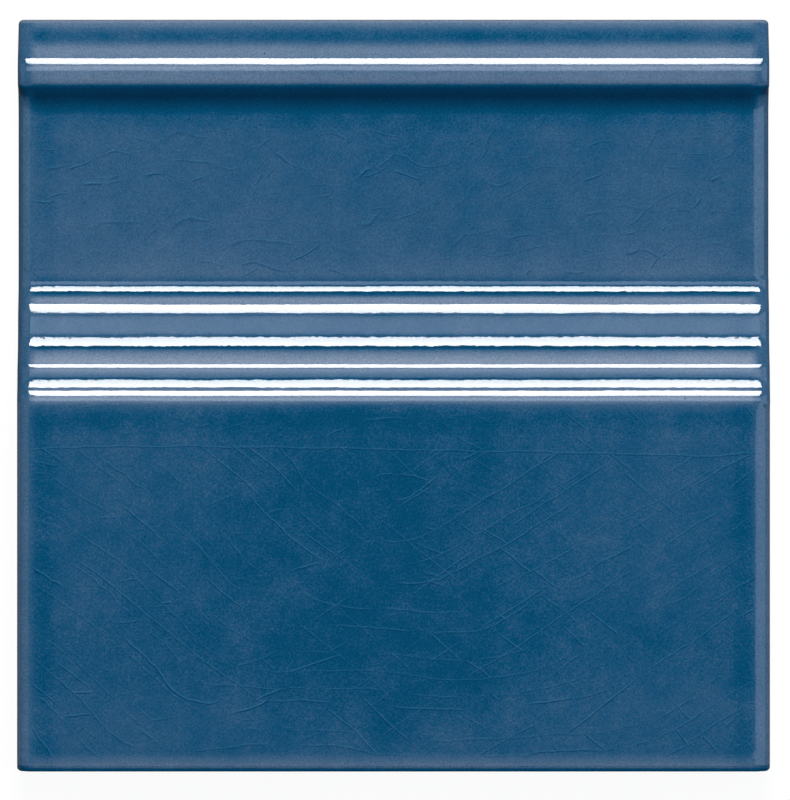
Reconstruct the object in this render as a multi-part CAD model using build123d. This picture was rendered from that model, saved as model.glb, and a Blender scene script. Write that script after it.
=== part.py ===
from build123d import *

import math
import os

# A glazed ceramic skirting tile, lying on its back with its moulded face up.
# X runs along the skirting, +Y points up the wall, +Z points out of the face.
# The origin is the middle of the back. Lengths are in millimetres, angles in degrees.

# Overall size
TILE_LENGTH = 148.0
TILE_HEIGHT = 148.0
UPPER_FIELD_THICKNESS = 8.0

# Bead along the top edge, with the hollow above it and the cove below it
BEAD_CREST_FROM_TOP = 10.3
BEAD_RADIUS = 8.0
BEAD_SHOULDER_ANGLE = 31.0
BEAD_UNDERSIDE_ANGLE = 38.0
SHOULDER_HOLLOW_RADIUS = 60.0
COVE_RADIUS = 6.0

# Band of three ogee steps: each is a hollow, a riser and a nose, with a sloping tread between two steps
BAND_FROM_TOP = 51.57
TREAD_SLOPE = 5.0
STEP_1_HOLLOW_RADIUS = 5.8
STEP_1_RISER_SLOPE = 30.8
STEP_1_NOSE_RADIUS = 10.5
STEP_1_TREAD = 2.5
STEP_2_HOLLOW_RADIUS = 10.7
STEP_2_RISER_SLOPE = 37.4
STEP_2_NOSE_RADIUS = 4.0
STEP_2_TREAD = 0.95
STEP_3_HOLLOW_RADIUS = 9.0
STEP_3_RISER_SLOPE = 24.0
STEP_3_NOSE_RADIUS = 6.2

# Soft round at the foot of the lower field
FOOT_ROUND_RADIUS = 8.0
FOOT_ROUND_ANGLE = 18.0

# Edges of the face
END_ROLL_RADIUS = 2.6
ARRIS_RADIUS = 1.2

# Keying grooves pressed into the back
GROOVE_WIDTH = 7.0
GROOVE_DEPTH = 0.8
GROOVE_PITCH = 13.0
GROOVE_MARGIN = 9.0

TOP_EDGE = TILE_HEIGHT / 2
BOTTOM_EDGE = -TILE_HEIGHT / 2


def arc_rise(radius, low_angle, high_angle):
    """Height gained along an arc between two slopes."""
    return radius * (math.cos(math.radians(low_angle)) - math.cos(math.radians(high_angle)))


def arc_run(radius, low_angle, high_angle):
    """Distance covered along an arc between two slopes."""
    return radius * (math.sin(math.radians(high_angle)) - math.sin(math.radians(low_angle)))


def heading(slope):
    """Direction of travel down the face at a slope, where a rise is positive."""
    return (-math.cos(math.radians(slope)), math.sin(math.radians(slope)))


# The hollow above the bead starts at the top edge with the slope that its run leaves.
shoulder_from_top = BEAD_CREST_FROM_TOP - arc_run(BEAD_RADIUS, 0, BEAD_SHOULDER_ANGLE)
top_slope = math.degrees(
    math.asin(math.sin(math.radians(BEAD_SHOULDER_ANGLE)) - shoulder_from_top / SHOULDER_HOLLOW_RADIUS)
)
bead_height = arc_rise(BEAD_RADIUS + COVE_RADIUS, 0, BEAD_UNDERSIDE_ANGLE)
bead_crest = UPPER_FIELD_THICKNESS + bead_height
shoulder_drop = arc_rise(BEAD_RADIUS, 0, BEAD_SHOULDER_ANGLE)
hollow_drop = arc_rise(SHOULDER_HOLLOW_RADIUS, top_slope, BEAD_SHOULDER_ANGLE)
top_edge_thickness = bead_crest - shoulder_drop - hollow_drop
foot_run = arc_run(FOOT_ROUND_RADIUS, 0, FOOT_ROUND_ANGLE)


def add_step(start, from_slope, hollow_radius, riser_slope, nose_radius, to_slope):
    """Draws a hollow up to the riser and a nose over it, and returns where the nose ends."""
    hollow = JernArc(start, heading(from_slope), hollow_radius, from_slope - riser_slope)
    nose = JernArc(hollow @ 1, hollow % 1, nose_radius, riser_slope - to_slope)
    return nose @ 1


def add_tread(start, length):
    """Draws the sloping tread between two steps and returns where it ends."""
    return PolarLine(start, length, direction=heading(TREAD_SLOPE)) @ 1


def add_band(start):
    """Draws the three steps, from the level upper field to the level lower field."""
    reached = add_step(
        start, 0, STEP_1_HOLLOW_RADIUS, STEP_1_RISER_SLOPE, STEP_1_NOSE_RADIUS, TREAD_SLOPE
    )
    reached = add_tread(reached, STEP_1_TREAD)
    reached = add_step(
        reached, TREAD_SLOPE, STEP_2_HOLLOW_RADIUS, STEP_2_RISER_SLOPE, STEP_2_NOSE_RADIUS, TREAD_SLOPE
    )
    reached = add_tread(reached, STEP_2_TREAD)
    return add_step(
        reached, TREAD_SLOPE, STEP_3_HOLLOW_RADIUS, STEP_3_RISER_SLOPE, STEP_3_NOSE_RADIUS, 0
    )


def tile_section():
    """The section of the tile from its top edge down the face and back along the wall."""
    with BuildSketch(Plane.YZ) as section:
        with BuildLine():
            top_edge = Line((TOP_EDGE, 0), (TOP_EDGE, top_edge_thickness))
            turn = BEAD_SHOULDER_ANGLE - top_slope
            hollow = JernArc(top_edge @ 1, heading(top_slope), SHOULDER_HOLLOW_RADIUS, -turn)
            bead = JernArc(hollow @ 1, hollow % 1, BEAD_RADIUS, BEAD_SHOULDER_ANGLE + BEAD_UNDERSIDE_ANGLE)
            cove = JernArc(bead @ 1, bead % 1, COVE_RADIUS, -BEAD_UNDERSIDE_ANGLE)
            upper_field = Line(cove @ 1, (TOP_EDGE - BAND_FROM_TOP, UPPER_FIELD_THICKNESS))
            band_end = add_band(upper_field @ 1)
            lower_field = Line(band_end, (BOTTOM_EDGE + foot_run, band_end.Y))
            foot = JernArc(lower_field @ 1, lower_field % 1, FOOT_ROUND_RADIUS, FOOT_ROUND_ANGLE)
            bottom_edge = Line(foot @ 1, (BOTTOM_EDGE, 0))
            Line(bottom_edge @ 1, top_edge @ 0)
        make_face()
    return section.sketch


def face_edges(solid, axis):
    """Edges of the two outermost faces along an axis, without those that lie on the back."""
    faces = solid.faces().sort_by(axis)
    edges = faces[0].edges() + faces[-1].edges()
    return edges.filter_by(lambda edge: edge.bounding_box().max.Z > GROOVE_DEPTH)


def profile_edges(solid):
    """Edges of the two ends that follow the moulded face."""
    return face_edges(solid, Axis.X).filter_by(Axis.Z, reverse=True)


def keying_grooves():
    """Shallow round-ended grooves along the back, in rows centred on it."""
    room = TILE_HEIGHT - 2 * GROOVE_MARGIN - GROOVE_WIDTH
    rows = int(room // GROOVE_PITCH) + 1
    with BuildPart() as grooves:
        with BuildSketch(Plane.XY):
            with GridLocations(0, GROOVE_PITCH, 1, rows):
                SlotOverall(TILE_LENGTH - 2 * GROOVE_MARGIN, GROOVE_WIDTH)
        extrude(amount=GROOVE_DEPTH)
    return grooves.part


def skirting_tile():
    """The whole tile: the section run along the wall, its ends rolled over and its arrises eased."""
    tile = extrude(tile_section(), TILE_LENGTH / 2, both=True)
    tile = fillet(profile_edges(tile), END_ROLL_RADIUS)
    tile = fillet(face_edges(tile, Axis.Y), ARRIS_RADIUS)
    return tile - keying_grooves()


os.makedirs("parts", exist_ok=True)
tile = skirting_tile()
tile.label = "skirting_tile"
export_step(tile, "parts/skirting_tile.step")
print("bead crest", round(bead_crest, 2), "top edge", round(top_edge_thickness, 2))
print("overall thickness", round(tile.bounding_box().size.Z, 2))
print("volume", round(tile.volume), "valid", tile.is_valid)
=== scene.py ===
# %% [markdown]
# # A blue crackle-glazed skirting tile
#
# The real tile is one piece. Pale clay is pressed in a mould, fired, dipped in a deep blue glaze and fired
# again. The glaze runs off the rounds and gathers in the hollows, and as it cools it crazes into hairlines.
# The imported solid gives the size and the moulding. Here a finer mesh takes its place, because a gloss that
# mirrors a lamp shows every flat facet. Lengths below are in millimetres, and the mesh is brought to the
# frame's metres at the end, because Blender's tools work best on shapes of about that many units.

# %% Load the frame
import math

import bmesh
import bpy
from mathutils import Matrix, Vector, noise


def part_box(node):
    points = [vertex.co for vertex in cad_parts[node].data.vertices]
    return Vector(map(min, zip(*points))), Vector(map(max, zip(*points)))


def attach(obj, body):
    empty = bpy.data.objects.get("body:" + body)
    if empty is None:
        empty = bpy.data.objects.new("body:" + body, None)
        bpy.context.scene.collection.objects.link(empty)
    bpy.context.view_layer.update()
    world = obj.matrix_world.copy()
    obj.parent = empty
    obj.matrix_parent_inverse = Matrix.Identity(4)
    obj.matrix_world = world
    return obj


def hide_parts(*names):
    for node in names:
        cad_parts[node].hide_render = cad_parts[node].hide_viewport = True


MM = 0.001

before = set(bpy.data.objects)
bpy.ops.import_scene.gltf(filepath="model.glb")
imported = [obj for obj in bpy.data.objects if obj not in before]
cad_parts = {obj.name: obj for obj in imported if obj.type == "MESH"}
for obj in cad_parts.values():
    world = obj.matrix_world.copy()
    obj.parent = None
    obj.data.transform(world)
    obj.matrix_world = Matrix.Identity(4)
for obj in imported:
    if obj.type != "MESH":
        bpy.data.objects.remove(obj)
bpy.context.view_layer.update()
tile_low, tile_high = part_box("skirting_tile")
LENGTH = (tile_high.x - tile_low.x) / MM
END = tile_high.x / MM
TOP = tile_high.y / MM
BOTTOM = tile_low.y / MM
print("tile", round(LENGTH, 1), "by", round(TOP - BOTTOM, 1), "by", round(tile_high.z / MM, 1), "mm")

# %% [markdown]
# ## The section
#
# Looked at from its end, the face is a line of tangent arcs: a hollow, a bead, a cove, a flat field, three
# ogee steps and a lower field with a soft round at its foot. Above its crest the bead has a slightly tighter
# brow. The line could be typed in as a long list of points, but a spin of one vertex draws a true arc, and
# each arc then has only a radius and a turn to get right. It starts and ends a little outside the tile, so
# that it can be trimmed to the edges later.
#
# Molten glaze drains off a round and gathers in a hollow. So each stretch also says how deep the glaze lies
# along it, in a few even steps: 0 is a bare film, 0.5 an even coat and 1 a pool. Under the bead the pool is
# also painted shade.

# %% Sizes of the moulding
UPPER_FIELD = 8.0
BEAD_CREST_FROM_TOP = 10.3
BEAD_RADIUS = 8.0
BROW_RADIUS = 6.2
BROW = math.radians(13.75)
BEAD_SHOULDER = math.radians(31)
BEAD_UNDERSIDE = math.radians(38)
SHOULDER_HOLLOW_RADIUS = 60.0
COVE_RADIUS = 6.0
BAND_FROM_TOP = 51.57
TREAD_SLOPE = math.radians(5)
FOOT_ROUND_RADIUS = 8.0
FOOT_ROUND = math.radians(18)

bead_crest = UPPER_FIELD + (BEAD_RADIUS + COVE_RADIUS) * (1 - math.cos(BEAD_UNDERSIDE))
brow_run = BROW_RADIUS * (math.sin(BEAD_SHOULDER) - math.sin(BROW))
brow_drop = BROW_RADIUS * (math.cos(BROW) - math.cos(BEAD_SHOULDER))
shoulder_from_top = BEAD_CREST_FROM_TOP - BEAD_RADIUS * math.sin(BROW) - brow_run
print("bead crest", round(bead_crest, 2), "mm above the back")

# %% Drawing tools for the section
FINE_ROW = 0.3
WIDE_ROW = 1.4

tile = bmesh.new()
# Besides the glaze itself, this number carries painted light and shade at the ends, on the foot arris and
# under the bead.
glaze_depth_and_painted_light = tile.verts.layers.float.new("glaze_depth_and_painted_light")


def lay_glaze(fresh, depths):
    """Spreads a few glaze depths evenly over the points of a stretch that was just drawn."""
    last = len(depths) - 1
    for number, vert in enumerate(fresh, start=1):
        way = number / len(fresh) * last
        before = min(int(way), last - 1)
        vert[glaze_depth_and_painted_light] = depths[before] + (depths[before + 1] - depths[before]) * (way - before)


def draw_arc(tip, slope, radius, turn, depths, row=FINE_ROW):
    """Spins the tip through an arc: a positive turn makes a round, a negative one a hollow."""
    first = len(tile.verts)
    inward = Vector((0, -math.sin(slope), -math.cos(slope)))
    centre = tip.co + inward * math.copysign(radius, turn)
    rows = max(1, round(radius * abs(turn) / row))
    drawn = bmesh.ops.spin(tile, geom=[tip], cent=centre, axis=(1, 0, 0), angle=turn, steps=rows)
    lay_glaze(tile.verts[first:], depths)
    return drawn["geom_last"][0], slope - turn


def draw_straight(tip, slope, length, depths, row=WIDE_ROW):
    """Carries the line straight on down the face, in even rows."""
    first = len(tile.verts)
    rows = max(1, round(length / row))
    pace = Vector((0, -math.cos(slope), math.sin(slope))) * (length / rows)
    for _ in range(rows):
        tip = bmesh.ops.extrude_vert_indiv(tile, verts=[tip])["verts"][0]
        bmesh.ops.translate(tile, verts=[tip], vec=pace)
    lay_glaze(tile.verts[first:], depths)
    return tip


# %% Draw the top of the section: hollow, bead, cove and upper field
OVERRUN = 3.2
EDGE_ROW = 1.15
BAND_LIP = 1.6


def shoulder_slope(from_top):
    """Slope of the hollow above the bead, at a distance from the top edge."""
    return math.asin(math.sin(BEAD_SHOULDER) - (shoulder_from_top - from_top) / SHOULDER_HOLLOW_RADIUS)


slope = shoulder_slope(-OVERRUN)
shoulder_drop = BEAD_RADIUS * (1 - math.cos(BROW)) + brow_drop
hollow_drop = SHOULDER_HOLLOW_RADIUS * (math.cos(slope) - math.cos(BEAD_SHOULDER))
tip = tile.verts.new((0, TOP + OVERRUN, bead_crest - shoulder_drop - hollow_drop))
turn = slope - shoulder_slope(EDGE_ROW)
tip, slope = draw_arc(tip, slope, SHOULDER_HOLLOW_RADIUS, turn, (0.206, 0.339), 2 * OVERRUN)
turn = slope - BEAD_SHOULDER
shoulder_glaze = (0.339, 0.439, 0.49, 0.517, 0.499, 0.435, 0.319, 0.227, 0.215)
tip, slope = draw_arc(tip, slope, SHOULDER_HOLLOW_RADIUS, turn, shoulder_glaze)
brow_glaze = (0.215, 0.237, 0.247, 0.237, 0.206)
tip, slope = draw_arc(tip, slope, BROW_RADIUS, BEAD_SHOULDER - BROW, brow_glaze)
crest_glaze = (0.206, 0.164, 0.175, 0.308, 0.298, 0.27, 0.265, 0.32)
# Under the bead the deep glaze is both a real pool and painted shade.
under_bead_pool_and_shade = (0.56, 0.967, 0.967, 0.967, 0.967)
tip, slope = draw_arc(tip, slope, BEAD_RADIUS, BROW + BEAD_UNDERSIDE, crest_glaze + under_bead_pool_and_shade)
tip, slope = draw_arc(tip, slope, COVE_RADIUS, -BEAD_UNDERSIDE, (0.967, 0.889, 0.756, 0.623, 0.528))
to_band = tip.co.y - (TOP - BAND_FROM_TOP)
field_glaze = (0.528, 0.472, 0.472, 0.469, 0.464, 0.458, 0.454, 0.443, 0.406)
tip = draw_straight(tip, 0, to_band - BAND_LIP, field_glaze)
tip = draw_straight(tip, 0, BAND_LIP, (0.406, 0.421, 0.456, 0.488), FINE_ROW)
print("upper field", round(tip.co.z, 2), "mm thick")

# %% Draw the band of steps
STEPS = [
    {
        "hollow": 5.8, "hollow_glaze": (0.476, 0.474, 0.55, 1.0, 0.57, 0.44),
        "riser": math.radians(30.8),
        "nose": 10.5, "nose_glaze": (0.44, 0.15, 0.11, 0.175, 0.206, 0.267, 0.34, 0.47, 0.50),
        "tread": 2.5, "tread_glaze": (0.493, 0.478, 0.473, 0.473),
    },
    {
        "hollow": 10.7, "hollow_glaze": (0.473, 0.442, 0.532, 0.559, 0.834, 0.452, 0.262, 0.149, 0.057),
        "riser": math.radians(37.4),
        "nose": 4.0, "nose_glaze": (0.057, 0.021, 0.031, 0.123, 0.267),
        "tread": 0.95, "tread_glaze": (0.267, 0.37, 0.442, 0.532),
    },
    {
        "hollow": 9.0, "hollow_glaze": (0.532, 0.548, 0.532, 0.411, 0.288),
        "riser": math.radians(24),
        "nose": 6.2, "nose_glaze": (0.288, 0.185, 0.103, 0.144, 0.319),
        "tread": 0, "tread_glaze": None,
    },
]

for step in STEPS:
    tip, slope = draw_arc(tip, slope, step["hollow"], slope - step["riser"], step["hollow_glaze"])
    resting_slope = TREAD_SLOPE if step["tread"] else 0
    tip, slope = draw_arc(tip, slope, step["nose"], step["riser"] - resting_slope, step["nose_glaze"])
    if step["tread"]:
        tip = draw_straight(tip, slope, step["tread"], step["tread_glaze"], FINE_ROW)
band_end = tip.co.y
lower_field = tip.co.z
print("lower field", round(lower_field, 2), "mm thick")

# %% Draw the lower field and its foot
BAND_POOL = 7.0
FOOT_LIP = 1.75

foot_run = FOOT_ROUND_RADIUS * math.sin(FOOT_ROUND)
pool_glaze = (0.339, 0.452, 0.488, 0.511, 0.537, 0.548, 0.551, 0.549, 0.543, 0.535, 0.528, 0.522, 0.516)
tip = draw_straight(tip, 0, BAND_POOL, pool_glaze, 2 * FINE_ROW)
to_foot = tip.co.y - (BOTTOM + foot_run)
field_glaze = (0.516, 0.517, 0.518, 0.52, 0.524, 0.532, 0.526, 0.502, 0.49)
tip = draw_straight(tip, 0, to_foot - FOOT_LIP, field_glaze)
tip = draw_straight(tip, 0, FOOT_LIP, (0.501, 0.488, 0.468, 0.442, 0.411), FINE_ROW)
room = math.asin((foot_run - EDGE_ROW) / FOOT_ROUND_RADIUS)
tip, slope = draw_arc(tip, 0, FOOT_ROUND_RADIUS, room, (0.411, 0.391, 0.349, 0.319))
tip, slope = draw_arc(tip, slope, FOOT_ROUND_RADIUS, FOOT_ROUND - room, (0.319, 0.319), 2 * OVERRUN)
tip = draw_straight(tip, slope, OVERRUN, (0.319, 0.319), 2 * OVERRUN)
print("section of", len(tile.verts), "points")

# %% [markdown]
# ## The face
#
# Extruding the line along X lays out the face in columns. The ends of the tile are rolled over: towards the
# end each column sinks below the face by the depth of a quarter circle, a tighter one over the bead and the
# steps. Sinking it along the face's own normal, and not straight down, keeps the roll round on the slopes.
# The same pass lets the fired surface ripple by a few hundredths of a millimetre, which makes the lines of
# light waver.

# %% Run the section along the tile
END_ROLL = 2.6
ROLL_COLUMNS = 10
COLUMN = 1.3

roll_places = [END_ROLL * (1 - math.cos(math.pi / 2 * k / ROLL_COLUMNS)) for k in range(ROLL_COLUMNS + 1)]
between = LENGTH - 2 * END_ROLL
column_count = round(between / COLUMN)
columns = [-END + place for place in roll_places]
columns += [-END + END_ROLL + between * k / column_count for k in range(1, column_count)]
columns += [END - place for place in reversed(roll_places)]


def extrude_line(edges, distance):
    """Extrudes lines of edges by a distance and returns the edges of the new lines."""
    drawn = bmesh.ops.extrude_edge_only(tile, edges=edges)["geom"]
    fresh = {item for item in drawn if isinstance(item, bmesh.types.BMVert)}
    bmesh.ops.translate(tile, verts=list(fresh), vec=distance)
    kept = [item for item in drawn if isinstance(item, bmesh.types.BMEdge)]
    return [edge for edge in kept if edge.verts[0] in fresh and edge.verts[1] in fresh]


bmesh.ops.translate(tile, verts=tile.verts[:], vec=(-END, 0, 0))
edges = tile.edges[:]
for here, after in zip(columns, columns[1:]):
    edges = extrude_line(edges, (after - here, 0, 0))
bmesh.ops.recalc_face_normals(tile, faces=tile.faces[:])
if sum(face.normal.z for face in tile.faces) < 0:
    bmesh.ops.reverse_faces(tile, faces=tile.faces[:])
tile.normal_update()
print("face of", len(tile.faces), "quads in", len(columns) - 1, "columns")

# %% Roll the ends over and let the surface ripple
LEFT_ROLL = {"field": 2.6, "bead": 1.6, "band": 2.5}
RIGHT_ROLL = {"field": 2.9, "bead": 1.4, "band": 1.8}
RELIEF_FADE = 1.5
COVE_SPAN = (13.4, 15.6)
RIPPLE_DEPTH = 0.035
RIPPLE_LENGTH = 9.0
RIPPLE_HEIGHT = 3.5


def ripple(place):
    """Small uneven waves of the fired glaze, never above the pressed face."""
    spot = Vector((place.x / RIPPLE_LENGTH, place.y / RIPPLE_HEIGHT, 0))
    return RIPPLE_DEPTH * (0.5 - 0.5 * noise.noise(spot))


def fade(value, start, end):
    """Goes smoothly from 0 at start to 1 at end."""
    share = min(1.0, max(0.0, (value - start) / (end - start)))
    return share * share * (3 - 2 * share)


def roll_width(place):
    """Width of the rolled end, which is tighter over the bead and the steps than on the fields."""
    from_top = TOP - place.y
    on_bead = 1 - fade(from_top, *COVE_SPAN)
    on_band = fade(from_top, BAND_FROM_TOP - RELIEF_FADE, BAND_FROM_TOP)
    on_band *= 1 - fade(from_top, TOP - band_end, TOP - band_end + RELIEF_FADE)
    roll = LEFT_ROLL if place.x < 0 else RIGHT_ROLL
    over_bead = on_bead * (roll["bead"] - roll["field"])
    over_band = on_band * (roll["band"] - roll["field"])
    return roll["field"] + over_bead + over_band


for vert in tile.verts:
    from_end = max(0.0, END - abs(vert.co.x))
    width = roll_width(vert.co)
    sunk = 0.0
    if from_end < width:
        sunk = min(width, END_ROLL) * (1 - math.sqrt(1 - (1 - from_end / width) ** 2))
    vert.co -= vert.normal * (sunk + ripple(vert.co))
    vert.co.x = math.copysign(END - from_end, vert.co.x)
print("ends rolled over by", RIGHT_ROLL["bead"], "to", RIGHT_ROLL["field"], "mm")

# %% [markdown]
# ## Walls and arrises
#
# Two cuts with a plane trim the face at the top and bottom edge. Extruding its border down to the back makes
# the walls, and each wall is dissolved into one flat face, so that the bevel that eases the arrises has room.
# The same bevel rounds the upright corners.

# %% Trim the face and drop the walls
SLACK = 0.001

for edge_y, outward in ((TOP, 1), (BOTTOM, -1)):
    everything = tile.verts[:] + tile.edges[:] + tile.faces[:]
    bmesh.ops.bisect_plane(
        tile, geom=everything, dist=SLACK, plane_co=(0, edge_y, 0), plane_no=(0, outward, 0), clear_outer=True
    )
border = [edge for edge in tile.edges if edge.is_boundary]
drawn = bmesh.ops.extrude_edge_only(tile, edges=border)["geom"]
feet = [item for item in drawn if isinstance(item, bmesh.types.BMVert)]
bmesh.ops.scale(tile, verts=feet, vec=(1, 1, 0))
wall_faces = [item for item in drawn if isinstance(item, bmesh.types.BMFace)]


def wall_side(face):
    """Names the side of the tile that a wall face lies on."""
    middle = face.calc_center_median()
    if abs(middle.x) > END - SLACK:
        return "left" if middle.x < 0 else "right"
    return "top" if middle.y > 0 else "bottom"


sides = {"left": [], "right": [], "top": [], "bottom": []}
for face in wall_faces:
    sides[wall_side(face)].append(face)
walls = {side: bmesh.ops.dissolve_faces(tile, faces=faces)["region"][0] for side, faces in sides.items()}
print("walls", {side: len(wall.verts) for side, wall in walls.items()}, "corners each")

# %% Ease the arrises
ARRIS = 0.9
ARRIS_SEGMENTS = 6
ROUND_PROFILE = 0.5

arris_edges = [
    edge
    for side in ("top", "bottom")
    for edge in walls[side].edges
    if max(vert.co.z for vert in edge.verts) > SLACK
]
bmesh.ops.bevel(
    tile,
    geom=arris_edges,
    offset=ARRIS,
    offset_type="OFFSET",
    segments=ARRIS_SEGMENTS,
    profile=ROUND_PROFILE,
    affect="EDGES",
    material=-1,
)
print("eased", len(arris_edges), "edges, now", len(tile.faces), "faces")

# %% [markdown]
# ## The back
#
# The back is bare biscuit with shallow grooves that key into the adhesive. Each groove is a slot: two
# straight runs and two half turns, drawn as a line. One fill closes the back between the border and the
# slots, and the slots then go up into the clay. Points that only divide a straight border are dissolved
# first, because the fill would draw a sliver to each of them.

# %% Draw the keying grooves
GROOVE_WIDTH = 7.0
GROOVE_DEPTH = 0.8
GROOVE_PITCH = 13.0
GROOVE_MARGIN = 9.0
GROOVE_TURNS = 12

groove_room = (TOP - BOTTOM) - 2 * GROOVE_MARGIN - GROOVE_WIDTH
groove_rows = int(groove_room // GROOVE_PITCH) + 1
groove_reach = END - GROOVE_MARGIN - GROOVE_WIDTH / 2


def draw_slot(middle_y):
    """Draws the outline of one groove on the back."""
    opening = tile.verts.new((-groove_reach, middle_y - GROOVE_WIDTH / 2, 0))
    tip = opening
    for side in (1, -1):
        tip = bmesh.ops.extrude_vert_indiv(tile, verts=[tip])["verts"][0]
        bmesh.ops.translate(tile, verts=[tip], vec=(2 * side * groove_reach, 0, 0))
        centre = (side * groove_reach, middle_y, 0)
        turned = bmesh.ops.spin(
            tile, geom=[tip], cent=centre, axis=(0, 0, 1), angle=math.pi, steps=GROOVE_TURNS
        )
        tip = turned["geom_last"][0]
    bmesh.ops.pointmerge(tile, verts=[tip, opening], merge_co=opening.co)


border_verts = {vert for edge in tile.edges if edge.is_boundary for vert in edge.verts}
dividing = [vert for vert in border_verts if len(vert.link_edges) == 2]
bmesh.ops.dissolve_verts(tile, verts=dividing)
back_edges = [edge for edge in tile.edges if edge.is_boundary]
for row in range(groove_rows):
    draw_slot((row - (groove_rows - 1) / 2) * GROOVE_PITCH)
slot_edges = [edge for edge in tile.edges if edge.is_wire]
print("grooves", groove_rows, "border edges", len(back_edges))

# %% Close the back and press the grooves in
CUBIC_CM = 1000

bmesh.ops.triangle_fill(tile, use_beauty=True, use_dissolve=False, edges=back_edges + slot_edges)
groove_floors = extrude_line(slot_edges, (0, 0, GROOVE_DEPTH))
bmesh.ops.edgeloop_fill(tile, edges=groove_floors)
bmesh.ops.recalc_face_normals(tile, faces=tile.faces[:])
if tile.calc_volume(signed=True) < 0:
    bmesh.ops.reverse_faces(tile, faces=tile.faces[:])
open_edges = [edge for edge in tile.edges if not edge.is_manifold]
volume = tile.calc_volume(signed=True) / CUBIC_CM
print("open edges", len(open_edges), "volume", round(volume, 1), "cubic cm")

# %% [markdown]
# ## How the glaze lies at the edges
#
# Along the ends the glaze pulls back from the roll and leaves a pale rim, and just inside the rim it stands
# in a shallow gutter. On the outermost millimetre of the roll it is a thin film, lightened further as painted
# light where the roll turns away from the lamps. It also gathers a little in the middle of the tile. The
# depth that was drawn with the section is kept on each point, so these are small changes to that number, and
# the finish reads it later.
# Each span below is a pair of numbers: where a change starts and where it ends. The foot arris turns away
# from the lamps, and there the glaze is set to a dark pool as painted shade.

# %% Glaze at the ends, the edges and the middle, and painted shade on the foot arris
RIM_SPAN = (1.82, 3.9)
RIM_DEPTH = 0.443
EDGE_FILM_AND_LIGHT_SPAN = (0.33, 1.1)
GUTTER_FROM_END = 5.5
GUTTER_WIDTH = 2.1
# Each pool's "edge" depth is a thin film at the very end, lightened as painted light.
LOWER_POOL = {"edge": 0.3, "gutter": 0.042, "middle": 0.056, "place": -2.0, "width": 31.0}
UPPER_POOL = {"edge": 0.42, "gutter": 0.033, "middle": 0.032, "place": 10.0, "width": 42.0}
POOL_FROM_FOOT = 14.0
POOL_MEAN = 0.5
POOLED_SPAN = (0.57, 0.8)
TOP_ARRIS_SPAN = (0.3 * ARRIS, ARRIS)
TOP_ARRIS_DEPTH = 0.12
# The foot arris is darkened as painted shade.
FOOT_SHADE_SPAN = (0.35 * ARRIS, 0.85 * ARRIS)
FOOT_SHADE_DEPTH = 1.0

for vert in tile.verts:
    pool = LOWER_POOL if vert.co.y < band_end else UPPER_POOL
    from_end = END - abs(vert.co.x)
    rim = 1 - fade(from_end, *RIM_SPAN)
    # Painted light: the outermost strip of the roll is set to a thin, light glaze, partly a real thin film
    # and partly light that it turns away from.
    edge = 1 - fade(from_end, *EDGE_FILM_AND_LIGHT_SPAN)
    gutter = math.exp(-(((from_end - GUTTER_FROM_END) / GUTTER_WIDTH) ** 2))
    middle = math.exp(-(((vert.co.x - pool["place"]) / pool["width"]) ** 2)) - POOL_MEAN
    middle *= fade(vert.co.y - BOTTOM, 0.0, POOL_FROM_FOOT)
    depth = vert[glaze_depth_and_painted_light] + pool["gutter"] * gutter + pool["middle"] * middle
    from_top = TOP - vert.co.y
    pooled = fade(depth, *POOLED_SPAN) * (1 - fade(from_top, *COVE_SPAN))
    drained = 1 - pooled
    depth += rim * drained * (RIM_DEPTH - depth)
    depth += edge * drained * (pool["edge"] - depth)
    top_edge = 1 - fade(from_top, *TOP_ARRIS_SPAN)
    # Painted shade: the foot arris gets the darkest pooled glaze, fading out down the wall.
    painted_foot_shade = 1 - fade(vert.co.y - BOTTOM, *FOOT_SHADE_SPAN)
    painted_foot_shade *= fade(vert.co.z, 0.0, lower_field / 2)
    depth += top_edge * (TOP_ARRIS_DEPTH - depth)
    depth += painted_foot_shade * (FOOT_SHADE_DEPTH - depth)
    vert[glaze_depth_and_painted_light] = depth
depths = [vert[glaze_depth_and_painted_light] for vert in tile.verts]
print("glaze from", round(min(depths), 2), "to", round(max(depths), 2))

# %% Make the tile an object
SHARP_ANGLE = math.radians(50)

for face in tile.faces:
    face.smooth = True
for edge in tile.edges:
    edge.smooth = not edge.is_manifold or edge.calc_face_angle() < SHARP_ANGLE
bmesh.ops.scale(tile, verts=tile.verts[:], vec=(MM, MM, MM))
mesh = bpy.data.meshes.new("glazed_tile")
tile.to_mesh(mesh)
tile.free()
glazed_tile = bpy.data.objects.new("glazed_tile", mesh)
bpy.context.scene.collection.objects.link(glazed_tile)
weighted = glazed_tile.modifiers.new("even_walls", "WEIGHTED_NORMAL")
weighted.keep_sharp = True
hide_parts("skirting_tile")
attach(glazed_tile, "root")
print("triangles", sum(len(face.vertices) - 2 for face in mesh.polygons))

# %% [markdown]
# ## Helpers for node trees
#
# A finish is a small network of nodes. These helpers place one node, set its plain values and link what feeds
# it, so that each finish below reads as a list of steps.

# %% Node helpers


def feed(tree, socket, value):
    """Links another node's output to a socket, or sets a plain value on it."""
    if isinstance(value, bpy.types.NodeSocket):
        tree.links.new(value, socket)
    else:
        socket.default_value = value


def place(tree, kind, inputs=None, **settings):
    """Adds a node, sets its options and feeds its inputs by name or number."""
    node = tree.nodes.new(kind)
    for name, value in settings.items():
        setattr(node, name, value)
    for name, value in (inputs or {}).items():
        feed(tree, node.inputs[name], value)
    return node


def calc(tree, operation, first, second=0.0, third=0.0, clamp=False):
    """One step of arithmetic."""
    node = place(tree, "ShaderNodeMath", operation=operation, use_clamp=clamp)
    for socket, value in zip(node.inputs, (first, second, third)):
        feed(tree, socket, value)
    return node.outputs["Value"]


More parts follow.
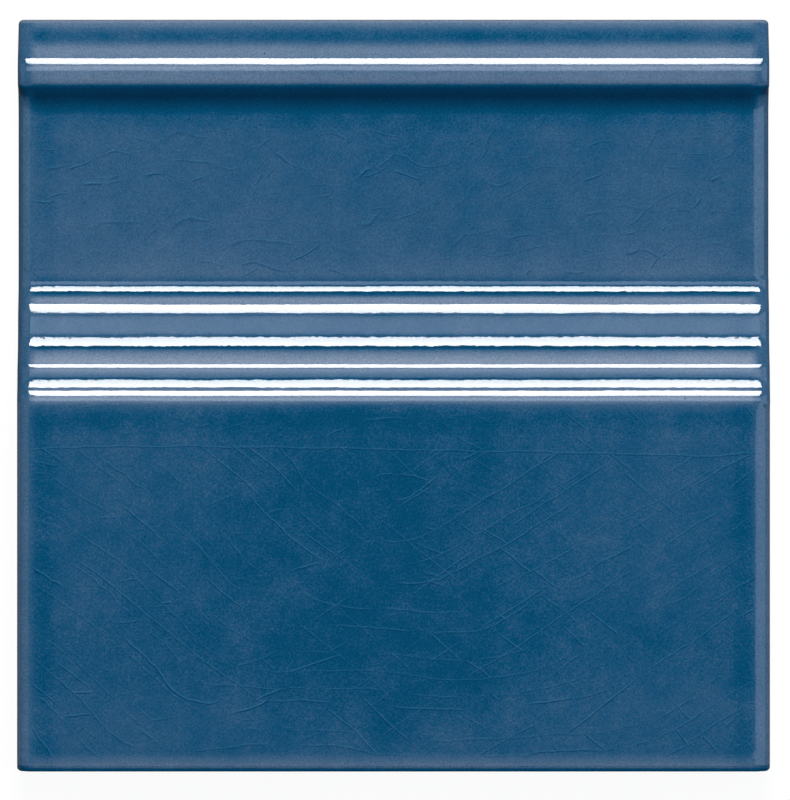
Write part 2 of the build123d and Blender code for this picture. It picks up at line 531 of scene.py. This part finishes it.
def ease(tree, value, start, end, low=0.0, high=1.0):
    """Goes smoothly from low at start to high at end."""
    inputs = {"Value": value, "From Min": start, "From Max": end, "To Min": low, "To Max": high}
    node = place(tree, "ShaderNodeMapRange", inputs, interpolation_type="SMOOTHSTEP")
    return node.outputs["Result"]


def lay_over(tree, share, under, over):
    """Lays one colour over another by a share."""
    inputs = {"Factor": share, "A": under, "B": over}
    node = place(tree, "ShaderNodeMix", inputs, data_type="RGBA")
    return node.outputs["Result"]


def cloud(tree, spot, size, detail=2.0, roughness=0.5, dimensions="3D"):
    """Soft noise around 0 with features of about a size, in the units of the spot."""
    inputs = {"Vector": spot, "Scale": 1 / size, "Detail": detail, "Roughness": roughness}
    node = place(tree, "ShaderNodeTexNoise", inputs, noise_dimensions=dimensions)
    return calc(tree, "SUBTRACT", node.outputs["Fac"], 0.5)


def start_group(name, inputs, outputs):
    """Opens a node group with number sockets and returns its tree, its input node and its output node."""
    tree = bpy.data.node_groups.new(name, "ShaderNodeTree")
    for socket in inputs:
        tree.interface.new_socket(socket, in_out="INPUT", socket_type="NodeSocketFloat")
    for socket in outputs:
        tree.interface.new_socket(socket, in_out="OUTPUT", socket_type="NodeSocketFloat")
    return tree, tree.nodes.new("NodeGroupInput"), tree.nodes.new("NodeGroupOutput")


# %% [markdown]
# ## Hairlines
#
# Crazing is a net of hairline cracks. An even cell pattern looks like dried mud, because every crack there
# meets two others at a corner. In a glaze the first cracks run long and later ones stop against them. Here
# the cracks are level lines of a smooth height map, as on a walker's map: one group turns any such height
# into hairlines at a spacing, breaks them up along their length and gives each a lit side, a painted
# highlight, and a shaded side, a painted shade.

# %% Group that turns a height into hairlines
HAIR_INPUTS = ("Height", "Along", "Spacing", "Steepness", "Unevenness", "Gaps", "Seed")
HAIR_OUTPUTS = ("Lit", "Shaded", "Band")
HAIR_CORE = 0.05
HAIR_EDGE = 0.16
SHADE_OFFSET = 0.23
SHADE_CORE = 0.05
SHADE_EDGE = 0.22
HAIR_RUN = 13.0
HAIR_FADE = 0.12
FAINTEST = 0.5
BOLDER = 0.6
SEED_STEP = 7.31

hairlines, given, result = start_group("hairlines", HAIR_INPUTS, HAIR_OUTPUTS)
level = calc(hairlines, "DIVIDE", given.outputs["Height"], given.outputs["Spacing"])
nearest = calc(hairlines, "ROUND", level)
line_seed = calc(hairlines, "MULTIPLY_ADD", nearest, SEED_STEP, given.outputs["Seed"])
toss = place(hairlines, "ShaderNodeTexWhiteNoise", {"W": line_seed}, noise_dimensions="1D")
stray = calc(hairlines, "SUBTRACT", toss.outputs["Value"], 0.5)
stray = calc(hairlines, "MULTIPLY", stray, given.outputs["Unevenness"])
offset = calc(hairlines, "SUBTRACT", calc(hairlines, "SUBTRACT", level, nearest), stray)
offset = calc(hairlines, "MULTIPLY", offset, given.outputs["Spacing"])
offset = calc(hairlines, "DIVIDE", offset, given.outputs["Steepness"])
run = calc(hairlines, "DIVIDE", given.outputs["Along"], HAIR_RUN)
run_spot = place(hairlines, "ShaderNodeCombineXYZ", {"X": run, "Y": line_seed}).outputs["Vector"]
strength = cloud(hairlines, run_spot, size=1.0, detail=1.0, dimensions="2D")
strength = calc(hairlines, "SUBTRACT", strength, given.outputs["Gaps"])
present = ease(hairlines, strength, 0.0, HAIR_FADE)
boldness = calc(hairlines, "MULTIPLY_ADD", toss.outputs["Value"], BOLDER, FAINTEST)
present = calc(hairlines, "MULTIPLY", present, boldness)
lit = ease(hairlines, calc(hairlines, "ABSOLUTE", offset), HAIR_CORE, HAIR_EDGE, 1.0, 0.0)
below = calc(hairlines, "ABSOLUTE", calc(hairlines, "ADD", offset, SHADE_OFFSET))
shaded = ease(hairlines, below, SHADE_CORE, SHADE_EDGE, 1.0, 0.0)
band = calc(hairlines, "SUBTRACT", nearest, calc(hairlines, "LESS_THAN", offset, 0.0))
hairlines.links.new(calc(hairlines, "MULTIPLY", lit, present), result.inputs["Lit"])
hairlines.links.new(calc(hairlines, "MULTIPLY", shaded, present), result.inputs["Shaded"])
hairlines.links.new(band, result.inputs["Band"])
print("hairline group has", len(hairlines.nodes), "nodes")

# %% [markdown]
# ## The glaze
#
# Glaze over a pale body is lighter where it is thin and deeper where it pools. A ramp over the glaze depth
# gives that, with a slow cloud for the uneven dip and a fine grain for the bubbles in it. A few gas bubbles
# have burst and left pinholes, which are darkened with the pooled colour as painted shade.

# %% Coordinates and glaze depth
MOTTLE_SIZE = 10.0
MOTTLE_DETAIL = 4.0
MOTTLE_ROUGHNESS = 0.8
MOTTLE = 0.14
STIR_SPAN = (0.47, 0.53)
DEEP_STIR = 1.9
GRAIN_SIZE = 0.42
GRAIN = 0.13
SPARKLE_SIZE = 0.336
SPARKLE = 0.85
PIT_SPACING = 36.0
PIT_CORE = 0.125
PIT_RADIUS = 0.25
PIT_SHADE = 0.7
THIN_GLAZE = (0.235, 0.298, 0.388, 1)
EVEN_GLAZE = (0.0127, 0.0872, 0.1775, 1)
EVEN_DEPTH = 0.5
DEEP_GLAZE = (0.0010, 0.0698, 0.1490, 1)
DEEP_DEPTH = 0.56
# The pooled colour is also laid on as painted shade in the cracks and the pinholes.
POOLED_GLAZE_AND_SHADE = (0.0008, 0.0400, 0.0960, 1)

glaze = bpy.data.materials.new("blue_crackle_glaze")
glaze.use_nodes = True
tree = glaze.node_tree
tree.nodes.clear()
output = tree.nodes.new("ShaderNodeOutputMaterial")
object_spot = place(tree, "ShaderNodeTexCoord").outputs["Object"]
in_mm = place(tree, "ShaderNodeVectorMath", {"Vector": object_spot, "Scale": 1 / MM}, operation="SCALE")
spot = in_mm.outputs["Vector"]
axes = place(tree, "ShaderNodeSeparateXYZ", {"Vector": spot})
across = axes.outputs["X"]
from_foot = calc(tree, "SUBTRACT", axes.outputs["Y"], BOTTOM)
height = axes.outputs["Z"]

laid = place(tree, "ShaderNodeAttribute", attribute_name="glaze_depth_and_painted_light").outputs["Fac"]
mottle = cloud(tree, spot, MOTTLE_SIZE, MOTTLE_DETAIL, MOTTLE_ROUGHNESS)
mottle = calc(tree, "MULTIPLY", mottle, MOTTLE)
mottle = calc(tree, "MULTIPLY_ADD", cloud(tree, spot, GRAIN_SIZE), GRAIN, mottle)
stir = ease(tree, laid, *STIR_SPAN, 1.0, DEEP_STIR)
depth = calc(tree, "MULTIPLY_ADD", mottle, stir, laid, clamp=True)
ramp = place(tree, "ShaderNodeValToRGB", {"Fac": depth})
ramp.color_ramp.elements[0].color = THIN_GLAZE
ramp.color_ramp.elements[1].color = POOLED_GLAZE_AND_SHADE
ramp.color_ramp.elements.new(EVEN_DEPTH).color = EVEN_GLAZE
ramp.color_ramp.elements.new(DEEP_DEPTH).color = DEEP_GLAZE
bubbles = calc(tree, "MULTIPLY_ADD", cloud(tree, spot, SPARKLE_SIZE, detail=1.0), SPARKLE, 1.0)
speckled = place(tree, "ShaderNodeHueSaturation", {"Value": bubbles, "Color": ramp.outputs["Color"]})
# Painted shade: each pinhole is darkened with the pooled colour.
inputs = {"Vector": spot, "Scale": 1 / PIT_SPACING}
pits = place(tree, "ShaderNodeTexVoronoi", inputs, voronoi_dimensions="2D").outputs["Distance"]
painted_pit_shade = ease(tree, pits, PIT_CORE / PIT_SPACING, PIT_RADIUS / PIT_SPACING, PIT_SHADE, 0.0)
colour = lay_over(tree, painted_pit_shade, speckled.outputs["Color"], POOLED_GLAZE_AND_SHADE)
print("glaze depth kept on the mesh", "glaze_depth_and_painted_light" in mesh.attributes)

# %% [markdown]
# ## Where the cracks run
#
# On the lower field one crack runs level across the whole tile, close under the band. Below it long cracks
# run straight down from both ends and turn level on a floor that widens towards the foot, like stacked bowls.
# A few straight ones cross in the middle. Short ones arch between the bowls and stop where they meet them:
# each gap between two bowls shifts the arches by its own toss, so they don't line up across it. The upper
# field has only short, faint pieces that swell up and down.

# %% Height maps of the cracks
FIRST_CRACK = 63.2
FIRST_WAVER = 0.7
LEFT_FLANK = {"slope": 0.85, "floor": 55.0, "narrowing": 1.25, "side": -1}
RIGHT_FLANK = {"slope": 0.60, "floor": 50.0, "narrowing": 1.20, "side": 1}
BOWL_TURN = 4.0
FLANK_STEEPNESS = 0.65
FALL = 0.78
RISE = -0.65
ARCH_SLOPE = 0.55
ARCH_LEAN = 0.004
ARCH_FLAT = 9.0
ARCH_WAVER = -1.2
WARP = 8.0
WARP_SIZE = 40.0
KINK = 0.8
KINK_SIZE = 4.0
SWELL = 17.0
SWELL_SIZE = 17.0

bend = calc(tree, "MULTIPLY", cloud(tree, spot, WARP_SIZE), WARP)
warp = calc(tree, "MULTIPLY_ADD", cloud(tree, spot, KINK_SIZE), KINK, bend)


def flank(slope, floor, narrowing, side):
    """Straight cracks down one flank, each numbered by the height of the floor where it turns level."""
    inward = calc(tree, "MULTIPLY_ADD", across, -side * slope, slope * floor)
    return calc(tree, "DIVIDE", calc(tree, "ADD", from_foot, inward), 1 + slope * narrowing)


first = calc(tree, "SUBTRACT", from_foot, FIRST_CRACK)
first = calc(tree, "MULTIPLY_ADD", warp, FIRST_WAVER, first)
flanks = calc(tree, "SMOOTH_MIN", flank(**LEFT_FLANK), flank(**RIGHT_FLANK), BOWL_TURN)
bowl = calc(tree, "ADD", calc(tree, "SMOOTH_MIN", flanks, from_foot, BOWL_TURN), warp)
off_flank = calc(tree, "SUBTRACT", flanks, from_foot)
bowl_steepness = ease(tree, off_flank, -BOWL_TURN, BOWL_TURN, FLANK_STEEPNESS, 1.0)
falling = calc(tree, "ADD", calc(tree, "MULTIPLY_ADD", across, FALL, from_foot), warp)
rising = calc(tree, "SUBTRACT", calc(tree, "MULTIPLY_ADD", across, RISE, from_foot), warp)
arch_slope = calc(tree, "MULTIPLY_ADD", across, ARCH_LEAN, ARCH_SLOPE)
reach = calc(tree, "SQRT", calc(tree, "MULTIPLY_ADD", across, across, ARCH_FLAT ** 2))
arch = calc(tree, "MULTIPLY_ADD", arch_slope, reach, from_foot)
arch = calc(tree, "MULTIPLY_ADD", warp, ARCH_WAVER, arch)
swell = calc(tree, "MULTIPLY", cloud(tree, spot, SWELL_SIZE, detail=1.0), SWELL)
wave = calc(tree, "ADD", calc(tree, "ADD", from_foot, swell), warp)
print("long cracks bend by up to", WARP / 2, "mm")

# %% Draw the seven sets of cracks
ONE_ALONE = 1000.0
ARCH_TOSS = 11.0
UPPER_BREAKS = 1.8


def craze(height_map, along, **settings):
    """Places the hairline group on one height map, with the settings that its sockets name."""
    inputs = {"Height": height_map, "Along": along, **settings}
    return place(tree, "ShaderNodeGroup", inputs, node_tree=hairlines).outputs


def toss_bands(cracks, height_map):
    """Shifts a height map by a toss of its own in each gap between two cracks."""
    toss = place(tree, "ShaderNodeTexWhiteNoise", {"W": cracks["Band"]}, noise_dimensions="1D")
    return calc(tree, "MULTIPLY_ADD", toss.outputs["Value"], ARCH_TOSS, height_map)


first_crack = craze(first, across, Spacing=ONE_ALONE, Steepness=1.0, Unevenness=0.0, Gaps=-0.3, Seed=5.0)
long_cracks = craze(
    bowl, across, Spacing=4.0, Steepness=bowl_steepness, Unevenness=0.6, Gaps=-0.08, Seed=3.0
)
falling_cracks = craze(falling, across, Spacing=8.0, Steepness=1.27, Unevenness=0.6, Gaps=-0.02, Seed=17.0)
rising_cracks = craze(rising, across, Spacing=8.0, Steepness=1.19, Unevenness=0.6, Gaps=-0.02, Seed=23.0)
tossed_arch = toss_bands(long_cracks, arch)
short_cracks = craze(tossed_arch, across, Spacing=7.0, Steepness=1.2, Unevenness=0.5, Gaps=0.0, Seed=11.0)
broken_along = calc(tree, "MULTIPLY", across, UPPER_BREAKS)
upper_waves = craze(wave, broken_along, Spacing=5.0, Steepness=1.2, Unevenness=0.6, Gaps=0.0, Seed=31.0)
tossed_rise = toss_bands(upper_waves, calc(tree, "SUBTRACT", rising, swell))
upper_rising = craze(
    tossed_rise, broken_along, Spacing=7.0, Steepness=1.3, Unevenness=0.6, Gaps=0.03, Seed=37.0
)
print("five sets of cracks below the band and two above it")

# %% Keep each set to its place and colour the cracks with painted highlight and shade
FIRST_FADE = 0.3
CROSSING_REACH = 18.0
CROSSING_FADE = 6.0
BAND_FOOT_SPAN = (0.5, -2.5)
BAND_HEAD_SPAN = (0.0, 2.0)
BELOW_COVE_SPAN = (-20.0, -23.0)
CLEAR_RIM = 2.5
CLEAR_FADE = 1.5
CRACK_LIGHT = (0.06, 0.26, 0.45, 1)
LIT_SHARE = 0.23
SHADED_SHARE = 0.6

tile_height = TOP - BOTTOM
band_foot = band_end - BOTTOM
band_head = tile_height - BAND_FROM_TOP


def ease_from(level, start, end):
    """Goes smoothly from 0 to 1 between two places, told in millimetres from a level above the foot."""
    return ease(tree, from_foot, level + start, level + end)


def strongest(parts):
    """The strongest of several masks at each place."""
    total = parts[0]
    for part in parts[1:]:
        total = calc(tree, "MAXIMUM", total, part)
    return total


under_first = ease(tree, first, -FIRST_FADE, FIRST_FADE, 1.0, 0.0)
left_and_middle = ease(tree, across, CROSSING_REACH, CROSSING_REACH + CROSSING_FADE, 1.0, 0.0)
right_and_middle = ease(tree, across, -CROSSING_REACH, -CROSSING_REACH + CROSSING_FADE)
lower_only = ease_from(band_foot, *BAND_FOOT_SPAN)
upper_only = ease_from(band_head, *BAND_HEAD_SPAN)
upper_only = calc(tree, "MULTIPLY", upper_only, ease_from(tile_height, *BELOW_COVE_SPAN))
from_end = calc(tree, "SUBTRACT", END, calc(tree, "ABSOLUTE", across))
from_rim = calc(tree, "MINIMUM", from_end, from_foot)
inside_rims = ease(tree, from_rim, CLEAR_RIM, CLEAR_RIM + CLEAR_FADE)
cracks = {}
for side in ("Lit", "Shaded"):
    fall = calc(tree, "MULTIPLY", falling_cracks[side], left_and_middle)
    rise = calc(tree, "MULTIPLY", rising_cracks[side], right_and_middle)
    crossing = calc(tree, "MULTIPLY", strongest([long_cracks[side], fall, rise]), under_first)
    lower = strongest([crossing, first_crack[side], short_cracks[side]])
    lower = calc(tree, "MULTIPLY", lower, lower_only)
    upper = strongest([upper_waves[side], upper_rising[side]])
    everywhere = calc(tree, "MULTIPLY_ADD", upper, upper_only, lower)
    cracks[side] = calc(tree, "MULTIPLY", everywhere, inside_rims)
# The cracks carry painted light: a painted shade in the pooled colour below each hairline and a painted
# highlight in pale blue on it.
colour = lay_over(tree, calc(tree, "MULTIPLY", cracks["Shaded"], SHADED_SHARE), colour, POOLED_GLAZE_AND_SHADE)
colour = lay_over(tree, calc(tree, "MULTIPLY", cracks["Lit"], LIT_SHARE), colour, CRACK_LIGHT)
print("cracks stop", CLEAR_RIM, "mm from the ends and the foot")

# %% [markdown]
# ## Biscuit and gloss
#
# The glaze stops at a wavering line on the walls, and below it the bare biscuit shows, matt and speckled. The
# glazed face is a clear gloss. Where the glaze is deep its skin is dimpled like orange peel, mostly on the
# band, and the dimples fray the edges of the mirrored lamp.

# %% Biscuit below the glaze line
BISCUIT = (0.62, 0.54, 0.43, 1)
BISCUIT_SPECK = (0.45, 0.37, 0.28, 1)
SPECK_SIZE = 0.9
SPECK_SHARE = 0.3
GLAZE_LINE = 3.0
GLAZE_WAVER = 3.0
WAVER_SIZE = 9.0
GLAZE_LINE_SPAN = (-0.15, 0.25)
GLOSS = 0.04
MATT = 0.85

waver = cloud(tree, spot, WAVER_SIZE, detail=3.0)
line_height = calc(tree, "MULTIPLY_ADD", waver, GLAZE_WAVER, GLAZE_LINE)
glazed = ease(tree, calc(tree, "SUBTRACT", height, line_height), *GLAZE_LINE_SPAN)
speck = cloud(tree, spot, SPECK_SIZE, detail=4.0)
biscuit = lay_over(tree, calc(tree, "ADD", speck, SPECK_SHARE, clamp=True), BISCUIT, BISCUIT_SPECK)
colour = lay_over(tree, glazed, biscuit, colour)
roughness = calc(tree, "MULTIPLY_ADD", glazed, GLOSS - MATT, MATT)
print("glaze stops about", GLAZE_LINE, "mm above the back")

# %% Gloss and relief
PEEL_SIZE = 1.5
PEEL_HEIGHT = 0.022
PEEL_SPAN = (0.15, 0.45)
THIN_PEEL = 0.15
FIELD_PEEL = 0.2
PEEL_REACH = 1.5
CRACK_DEPTH = 0.0015
CLAY_HEIGHT = 0.05
GLAZE_IOR = 1.5

on_band = calc(
    tree, "MULTIPLY", ease_from(band_foot, -PEEL_REACH, 0.0), ease_from(band_head, PEEL_REACH, 0.0)
)
on_band = calc(tree, "MULTIPLY_ADD", on_band, 1 - FIELD_PEEL, FIELD_PEEL)
dimpled = calc(tree, "MULTIPLY", ease(tree, laid, *PEEL_SPAN, THIN_PEEL, 1.0), on_band)
dimpled = calc(tree, "MULTIPLY", dimpled, PEEL_HEIGHT)
peel = calc(tree, "MULTIPLY", cloud(tree, spot, PEEL_SIZE), dimpled)
relief = calc(tree, "MULTIPLY_ADD", cracks["Shaded"], -CRACK_DEPTH, peel)
bare = calc(tree, "MULTIPLY_ADD", glazed, -CLAY_HEIGHT, CLAY_HEIGHT)
relief = calc(tree, "MULTIPLY_ADD", speck, bare, relief)
bump = place(tree, "ShaderNodeBump", {"Strength": 1.0, "Distance": MM, "Height": relief})
shader = place(
    tree,
    "ShaderNodeBsdfPrincipled",
    {"Base Color": colour, "Roughness": roughness, "Normal": bump.outputs["Normal"], "IOR": GLAZE_IOR},
)
tree.links.new(shader.outputs["BSDF"], output.inputs["Surface"])
mesh.materials.append(glaze)
print("glaze has", len(tree.nodes), "nodes")

# %% [markdown]
# ## Floor and background
#
# The tile lies on a plain pale floor. The camera sees the floor and the background as white, and a part of
# the floor's white is left to the lamps, so the tile still drops a soft shadow on it.

# %% Floor
FLOOR_SIZE = 6.0
FLOOR_SHADE = 0.08
FLOOR_GLOW = 0.935
FLOOR_DROP = 0.05

floor_shape = bmesh.new()
bmesh.ops.create_grid(floor_shape, x_segments=1, y_segments=1, size=FLOOR_SIZE / 2)
bmesh.ops.translate(floor_shape, verts=floor_shape.verts[:], vec=(0, 0, -FLOOR_DROP * MM))
floor_mesh = bpy.data.meshes.new("floor")
floor_shape.to_mesh(floor_mesh)
floor_shape.free()
floor = bpy.data.objects.new("floor", floor_mesh)
bpy.context.scene.collection.objects.link(floor)

pale = bpy.data.materials.new("pale_floor")
pale.use_nodes = True
floor_tree = pale.node_tree
floor_tree.nodes.clear()
seen = place(floor_tree, "ShaderNodeLightPath").outputs["Is Camera Ray"]
glow = place(floor_tree, "ShaderNodeEmission", {"Strength": calc(floor_tree, "MULTIPLY", seen, FLOOR_GLOW)})
shade = place(floor_tree, "ShaderNodeBsdfDiffuse", {"Color": (FLOOR_SHADE, FLOOR_SHADE, FLOOR_SHADE, 1)})
both = place(floor_tree, "ShaderNodeAddShader", {0: glow.outputs["Emission"], 1: shade.outputs["BSDF"]})
floor_output = floor_tree.nodes.new("ShaderNodeOutputMaterial")
floor_tree.links.new(both.outputs["Shader"], floor_output.inputs["Surface"])
floor_mesh.materials.append(pale)
print("floor", FLOOR_SIZE, "m square")

# %% Background
STUDIO_DIM = 0.02

world = bpy.data.worlds.new("studio")
world.use_nodes = True
bpy.context.scene.world = world
world_tree = world.node_tree
world_tree.nodes.clear()
world_path = place(world_tree, "ShaderNodeLightPath")
world_level = calc(world_tree, "MAXIMUM", world_path.outputs["Is Camera Ray"], STUDIO_DIM)
background = place(world_tree, "ShaderNodeBackground", {"Color": (1, 1, 1, 1), "Strength": world_level})
world_output = world_tree.nodes.new("ShaderNodeOutputWorld")
world_tree.links.new(background.outputs["Background"], world_output.inputs["Surface"])
print("background is white to the camera")

# %% [markdown]
# ## Light
#
# A long softbox above the head of the tile draws the white lines along the rounds and hollows. A gloss
# mirrors a lamp only where the slope is half the lamp's angle, so the softbox's lower and upper angles set
# how wide each line is. It is hung as strips that widen and brighten away from overhead, which slants the
# ends of the white lines. Weaker panels give the grey strips beside the lines and the pale rims at the ends.

# %% Lamps
LAMP_DISTANCE = 2.0


def add_panel(name, compass, low, high, width, brightness, tint=(1, 1, 1)):
    """Hangs an area lamp that fills a range of angles from overhead, in a compass direction from +Y."""
    middle = math.radians((low + high) / 2)
    span = math.radians(high - low)
    turn = math.radians(compass)
    way = Vector((math.sin(turn) * math.sin(middle), math.cos(turn) * math.sin(middle), math.cos(middle)))
    lamp = bpy.data.lights.new(name, "AREA")
    lamp.shape = "RECTANGLE"
    lamp.color = tint
    lamp.size = width
    lamp.size_y = 2 * LAMP_DISTANCE * math.tan(span / 2)
    lamp.energy = brightness * math.pi * lamp.size * lamp.size_y
    panel = bpy.data.objects.new(name, lamp)
    panel.location = way * LAMP_DISTANCE
    panel.rotation_euler = way.to_track_quat("Z", "Y").to_euler()
    panel.visible_camera = False
    bpy.context.scene.collection.objects.link(panel)
    return lamp.energy


COOL = (0.84, 0.96, 1.2)
SOFTBOX_LOW = 23.3
SOFTBOX_HIGH = 42.2
SOFTBOX_STRIPS = 6
NARROW_STRIP = 0.34
WIDE_STRIP = 1.0
DIM_STRIP = 19.0
BRIGHT_STRIP = 25.5
PANELS = [
    {"name": "head_panel", "compass": 0, "low": 4.4, "high": 13, "width": 0.6, "brightness": 2.4},
    {"name": "head_fringe", "compass": 0, "low": 13, "high": 17, "width": 0.6, "brightness": 1.6},
    {"name": "right_panel", "compass": 90, "low": 8, "high": 80, "width": 1.6, "brightness": 1.2},
    {"name": "left_panel", "compass": -90, "low": 16, "high": 80, "width": 1.6, "brightness": 0.5},
]

power = 0.0
strip_span = (SOFTBOX_HIGH - SOFTBOX_LOW) / SOFTBOX_STRIPS
for number in range(SOFTBOX_STRIPS):
    share = number / (SOFTBOX_STRIPS - 1)
    start = SOFTBOX_LOW + number * strip_span
    width = NARROW_STRIP + share * (WIDE_STRIP - NARROW_STRIP)
    brightness = DIM_STRIP + share * (BRIGHT_STRIP - DIM_STRIP)
    power += add_panel(f"softbox_{number + 1}", 0, start, start + strip_span, width, brightness)
for panel in PANELS:
    power += add_panel(**panel, tint=COOL)
print("lamps give", round(power), "W in all")

# %% [markdown]
# ## Camera
#
# The view is straight down on the face, from far off with a long lens, so the walls of the tile stay hidden.
# The tile sits a little left of and above the middle of the frame.

# %% Camera
IMAGE_WIDTH = 790
IMAGE_HEIGHT = 800
OUTLINE_WIDTH = 754
OUTLINE_MIDDLE_X = 393.5
OUTLINE_MIDDLE_Y = 394.7
CAMERA_DISTANCE = 1.7

camera_data = bpy.data.cameras.new("camera")
camera = bpy.data.objects.new("camera", camera_data)
bpy.context.scene.collection.objects.link(camera)
bpy.context.scene.camera = camera
pixel = LENGTH * MM / OUTLINE_WIDTH
shift_x = (IMAGE_WIDTH / 2 - OUTLINE_MIDDLE_X) * pixel
shift_y = (OUTLINE_MIDDLE_Y - IMAGE_HEIGHT / 2) * pixel
camera.location = (shift_x, shift_y, lower_field * MM + CAMERA_DISTANCE)
camera_data.lens = camera_data.sensor_width * CAMERA_DISTANCE / (IMAGE_HEIGHT * pixel)
bpy.context.scene.view_settings.view_transform = "Standard"
print("lens", round(camera_data.lens), "mm")
